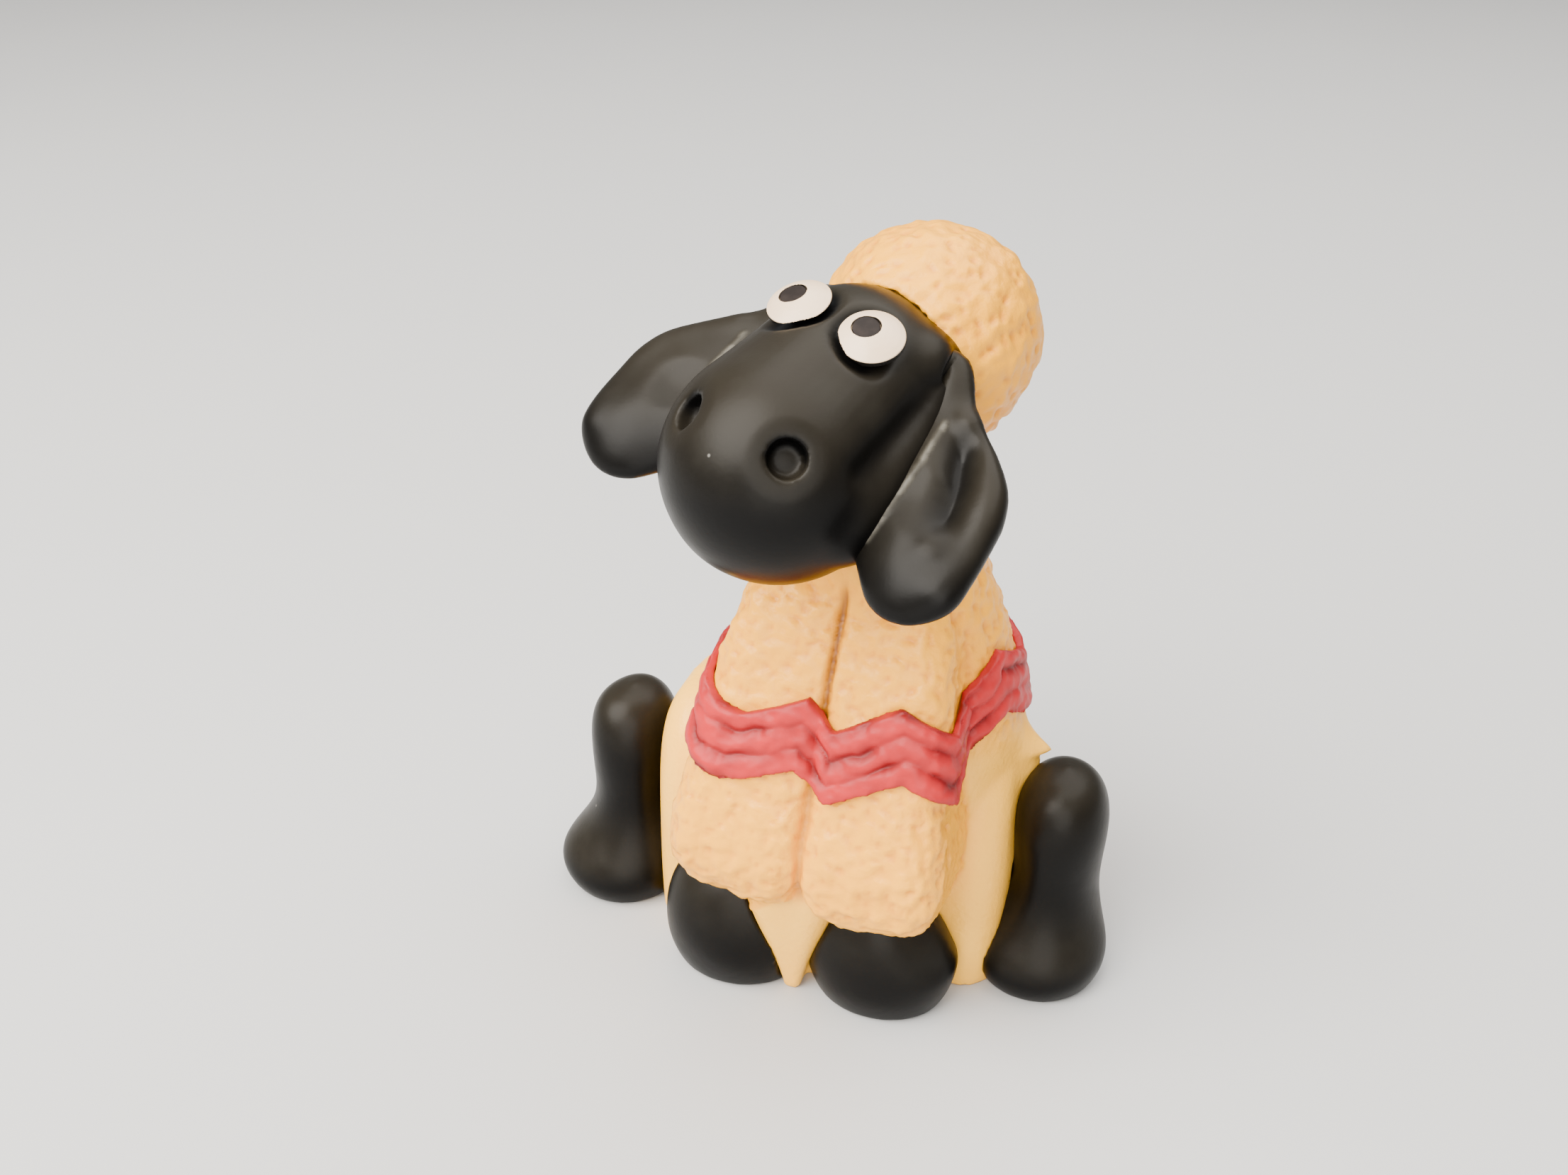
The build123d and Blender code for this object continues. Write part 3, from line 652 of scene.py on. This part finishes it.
earPoints = []
for name, side in sides.items():
    piece = softCopy("ear_" + name, "ear" + name.capitalize(), ear)
    normals = readNormals(piece)
    local = mirrored(moved(readPoints(piece), headFrame.inverted()), side)
    groove = bell(lineDistance(local, ear["groove"]), ear["grooveWidth"])
    for end in (ear["groove"][0], ear["groove"][-1]):
        groove = groove * smooth(*ear["grooveEnds"], distanceTo(local, end))
    groove = groove * ear["grooveDepth"][name]
    rim = bell(lineDistance(local, ear["rim"]), ear["rimWidth"])
    fromRoot = distanceTo(local, ear["root"])
    relax(piece, ear["leafRelax"], fromRoot > ear["leafFrom"])
    atRoot = bell(fromRoot, ear["rootReach"])
    shift(piece, atRoot * ear["rootStretch"], headDirection(ear["rootToward"], side))
    facing = smooth(*ear["frontFacing"], normals @ headDirection(ear["front"]))
    belly = bell(distanceTo(local, ear["belly"]), ear["bellyReach"]) * facing
    push(piece, belly * ear["bellyRise"])
    push(piece, atRoot * ear["rootSwell"] + rim * ear["rimHeight"] - groove)
    relax(piece, ear["lastRelax"])
    points = readPoints(piece)
    local = mirrored(moved(points, headFrame.inverted()), side)
    seam = bell(lineDistance(flatten(local), flatten(np.array(ear["seam"]))), ear["seamWidth"])
    seam = seam * smooth(*ear["seamFacing"], readNormals(piece) @ headDirection(ear["look"], side))
    push(piece, seam * ear["seamHeight"])
    chips = smooth(*ear["chipRange"], lumps(points, *ear["chipLumps"]))
    keepValue(piece, "chip", seam * atLeast(ear["chipLeast"], chips))
    # painted light where the ear faces up, dimmed toward the tip and in the groove as painted shade
    upper = atLeast(ear["tipLeast"], smooth(*ear["tipDark"], local[:, 2]))
    keepValue(piece, "top", facingUp(piece) * (1 - groove) * upper)
    earPoints.extend(readPoints(piece)[::ear["keepEvery"]])
    settle(piece, "head", "ear_" + name, blackVinyl)

# eyes and pupils, slid a little down the face
eye = {
    "voxel": 0.032, "pupilVoxel": 0.03, "relax": 4, "faceSide": 8.0, "faceRise": 65.0,
    "slide": {"left": 0.4, "right": 0.2}, "rimFacing": (0.2, 0.5), "keepEvery": 5,
}
eyePoints = []
for name, side in sides.items():
    piece = softCopy("eye_" + name, "eye" + name.capitalize(), eye)
    turn, rise = math.radians(side * eye["faceSide"]), math.radians(eye["faceRise"])
    outward = (math.sin(turn), -math.cos(turn) * math.cos(rise), math.cos(turn) * math.sin(rise))
    down = headDirection((0, -math.sin(rise), -math.cos(rise)))
    # the rim's sides, facing away from the eye's front, get the painted shadow
    faces = smooth(*eye["rimFacing"], readNormals(piece) @ headDirection(outward))
    keepValue(piece, "under", 1 - faces)
    shift(piece, np.full(len(piece.data.vertices), eye["slide"][name]), down)
    eyePoints.extend(readPoints(piece)[::eye["keepEvery"]])
    settle(piece, "head", "eye_" + name, eyeWhite)
    pupil = dict(eye, voxel=eye["pupilVoxel"])
    piece = softCopy("pupil_" + name, "pupil" + name.capitalize(), pupil)
    shift(piece, np.full(len(piece.data.vertices), eye["slide"][name]), down)
    settle(piece, "head", "pupil_" + name, pupilDark)

# head, with a soft valley in front of each ear and a fillet where the ear meets it; painted light where it
# faces up, with painted shade round the eyes, in the valleys and next to the cap
head = {
    "voxel": 0.13, "relax": 6, "lumps": ((3.5, 31, 0.05),),
    "valley": ((3.84, -6.27, 41.27), (4.61, -7.75, 40.64), (4.84, -9.24, 39.99), (4.99, -11.05, 39.35),
               (5.08, -12.52, 38.90), (5.19, -14.37, 38.33)),
    "valleyDepth": 0.3, "valleyWidth": 0.8, "valleyDark": 0.5,
    "nostril": (2.51, -16.65, 38.63), "floorDrop": 0.35, "floorEdge": (0.75, 1.05),
    "nostrilRelax": 5, "nostrilReach": 1.8, "nostrilShrink": 0.13, "shrinkEdge": (1.2, 2.1),
    "earFillet": 0.6, "filletReach": 0.9, "filletRelax": 10, "filletEdge": 2.0,
    "mound": (4.1, -6.4, 40.9), "moundRise": 0.3, "moundReach": 1.1,
    "eyeSink": 0.35, "eyeReach": 0.4, "capShade": (0.2, 2.6),
}
piece = softCopy("head", "headShell", head)
points = readPoints(piece)
local = moved(points, headFrame.inverted())
valleys = np.zeros(len(points))
nearNostril = np.full(len(points), np.inf)
for side in sides.values():
    valleys += bell(lineDistance(mirrored(local, side), head["valley"]), head["valleyWidth"])
    nearNostril = np.minimum(nearNostril, distanceTo(mirrored(local, side), head["nostril"]))
push(piece, -valleys * head["valleyDepth"] + lumpRows(points, head["lumps"]))
push(piece, -head["floorDrop"] * (1 - smooth(*head["floorEdge"], nearNostril)))
relax(piece, head["nostrilRelax"], nearNostril < head["nostrilReach"])
for side in sides.values():
    centre = headFrame @ Vector(mirrored(np.array(head["nostril"]), side))
    points = readPoints(piece)
    away = points - np.array(centre)
    share = 1 - smooth(*head["shrinkEdge"], np.linalg.norm(away, axis=1))
    setPoints(piece, points - away * (share * head["nostrilShrink"])[:, None])
toEar = nearest(readPoints(piece), earPoints)
push(piece, head["earFillet"] * bell(toEar, head["filletReach"]))
for side in sides.values():
    toMound = distanceTo(mirrored(local, side), head["mound"])
    push(piece, head["moundRise"] * bell(toMound, head["moundReach"]))
relax(piece, head["filletRelax"], toEar < head["filletEdge"])
points = readPoints(piece)
# painted light on the up-facing black, taken away as painted shade round the eyes, in the valleys and next to
# the cap
atEye = bell(nearest(points, eyePoints), head["eyeReach"])
lit = facingUp(piece) * (1 - atEye) * (1 - head["valleyDark"] * np.clip(valleys, 0, 1))
keepValue(piece, "top", lit * smooth(*head["capShade"], nearest(points, capPoints)))
push(piece, -head["eyeSink"] * atEye)
settle(piece, "head", "head", blackVinyl)

# legs and hooves, the left front hoof with a lower outer shoulder, with painted light where they face up
foot = {
    "voxel": 0.18, "relax": 5, "lumps": ((4.0, 21, 0.12),), "lumpsFrom": (0.5, 2.5),
    "shoulderNode": "front_hoof_left", "shoulderDrop": 1.3, "shoulderSide": (4.5, 8.5),
    "shoulderHeight": (2.0, 5.5),
}
for node in ("front_hoof_left", "front_hoof_right", "hind_leg_left", "hind_leg_right"):
    first, second, third = node.split("_")
    piece = softCopy(node, first + second.capitalize() + third.capitalize(), foot)
    points = readPoints(piece)
    upward = facingUp(piece)
    push(piece, lumpRows(points, foot["lumps"]) * smooth(*foot["lumpsFrom"], points[:, 2]))
    if node == foot["shoulderNode"]:
        shoulder = smooth(*foot["shoulderSide"], points[:, 0]) * smooth(*foot["shoulderHeight"], points[:, 2])
        shift(piece, foot["shoulderDrop"] * shoulder, (0, 0, -1))
    # painted light where the black faces up
    keepValue(piece, "top", upward)
    settle(piece, "body", node, blackVinyl)

# neck peg stays as the CAD has it
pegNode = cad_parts["neck_peg"]
pegNode.data.materials.clear()
pegNode.data.materials.append(pegPlastic)
print("pieces shaped")

# floor
floorSet = {
    "half": 3.0, "cuts": 8, "pale": (0.47, 0.47, 0.465, 1), "dark": (0.43, 0.43, 0.425, 1),
    "grain": 0.02, "detail": 3, "darkShare": 0.3,
    "gloss": {"grain": 0.05, "detail": 2, "middle": 0.65, "spread": 0.1},
}
shape = bmesh.new()
bmesh.ops.create_grid(shape, x_segments=floorSet["cuts"], y_segments=floorSet["cuts"], size=floorSet["half"])
floorMesh = bpy.data.meshes.new("floor")
shape.to_mesh(floorMesh)
shape.free()
floor = bpy.data.objects.new("floor", floorMesh)
scene.collection.objects.link(floor)
paint = Paint("floorPaint")
share = paint.grain(floorSet["grain"], floorSet["detail"]) * floorSet["darkShare"]
tone = paint.mix(share, floorSet["pale"], floorSet["dark"])
floorMesh.materials.append(paint.finish({"Base Color": tone, "Roughness": paint.gloss(floorSet["gloss"])}))
floor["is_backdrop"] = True

# light from the whole room, and three soft lamps aimed at the middle of the figurine
room = {"color": (0.86, 0.88, 0.92, 1), "strength": 0.4}
world = bpy.data.worlds.new("studio")
world.use_nodes = True
background = world.node_tree.nodes["Background"]
background.inputs["Color"].default_value = room["color"]
background.inputs["Strength"].default_value = room["strength"]
scene.world = world

softLights = {
    "keyLight": {"at": (-0.16, -0.20, 0.30), "size": 0.40, "power": 6.0, "color": (1.0, 0.96, 0.90)},
    "topLight": {"at": (0.06, 0.08, 0.36), "size": 0.50, "power": 3.0, "color": (1.0, 0.97, 0.93)},
    "fillLight": {"at": (0.10, -0.34, 0.14), "size": 0.34, "power": 1.5, "color": (1.0, 0.97, 0.92)},
}
aim = Vector((0, 0, 0.022))
for name, light in softLights.items():
    lamp = bpy.data.lights.new(name, "AREA")
    lamp.shape = "DISK"
    lamp.size = light["size"]
    lamp.energy = light["power"]
    lamp.color = light["color"]
    holder = bpy.data.objects.new(name, lamp)
    holder.location = light["at"]
    holder.rotation_euler = (aim - Vector(light["at"])).to_track_quat("-Z", "Y").to_euler()
    scene.collection.objects.link(holder)

# camera at the photo's viewing angle
view = {
    "at": (0.0229, -0.07913, 0.070), "pitch": 60.0, "yaw": 19.0,
    "focalPixels": 2300.0, "imageWidth": 2212.0, "sensor": 36.0, "clip": (0.002, 20.0),
}
camera = bpy.data.cameras.new("camera")
camera.sensor_width = view["sensor"]
camera.lens = view["focalPixels"] / view["imageWidth"] * view["sensor"]
camera.clip_start, camera.clip_end = view["clip"]
cameraHolder = bpy.data.objects.new("camera", camera)
cameraHolder.location = view["at"]
cameraHolder.rotation_euler = Euler((math.radians(view["pitch"]), 0, math.radians(view["yaw"])))
scene.collection.objects.link(cameraHolder)
scene.camera = cameraHolder
print("stage set")

low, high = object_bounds()
